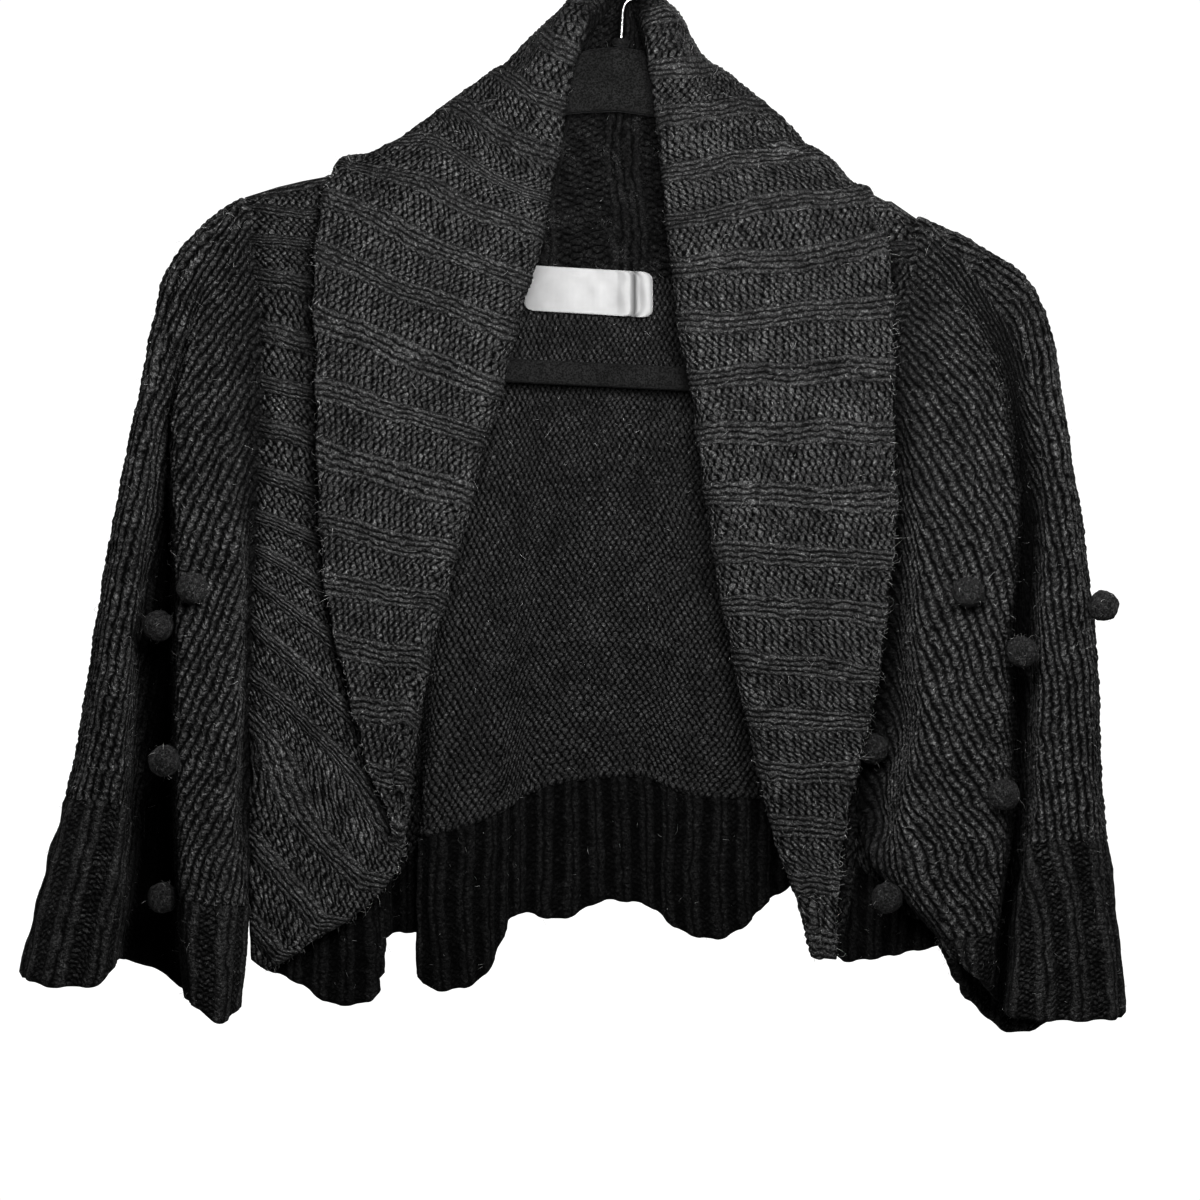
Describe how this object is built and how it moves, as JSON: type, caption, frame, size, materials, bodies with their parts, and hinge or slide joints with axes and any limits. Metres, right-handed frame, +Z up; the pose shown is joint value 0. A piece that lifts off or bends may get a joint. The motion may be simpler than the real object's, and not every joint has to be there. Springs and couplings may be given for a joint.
{
  "type": "knitted shrug on a clothes hanger",
  "caption": "Chunky knitted shrug with a wide folded shawl collar, ribbed cuffs and hem and felted balls, hanging open-fronted on a flocked hanger by its hook.",
  "frame": {"origin": "inside top of the hanger's hook, where a rail holds it", "axes": "+Z up; +X to the right as seen from the open front; +Y from the open front to the back panel"},
  "size_m": [0.5607, 0.1093, 0.5691],
  "materials": {
    "yarn": "matte",
    "satin": "satin",
    "flock": "matte",
    "chrome": "gloss"
  },
  "bodies": {
    "root": {"hanger_body": "flock", "hanger_hook": "chrome", "hanger_ferrule": "chrome", "back_panel": "yarn", "hem_band": "yarn", "collar_band": "yarn", "sleeve_left": "yarn", "sleeve_right": "yarn", "cuff_left": "yarn", "cuff_right": "yarn", "label": "satin", "ball_left_1": "yarn", "ball_left_2": "yarn", "ball_left_3": "yarn", "ball_left_4": "yarn", "ball_left_5": "yarn", "ball_left_6": "yarn", "ball_left_7": "yarn", "ball_right_1": "yarn", "ball_right_2": "yarn", "ball_right_3": "yarn", "ball_right_4": "yarn", "ball_right_5": "yarn", "ball_right_6": "yarn", "ball_right_7": "yarn", "ball_right_8": "yarn", "ball_right_9": "yarn"}
  },
  "joints": []
}
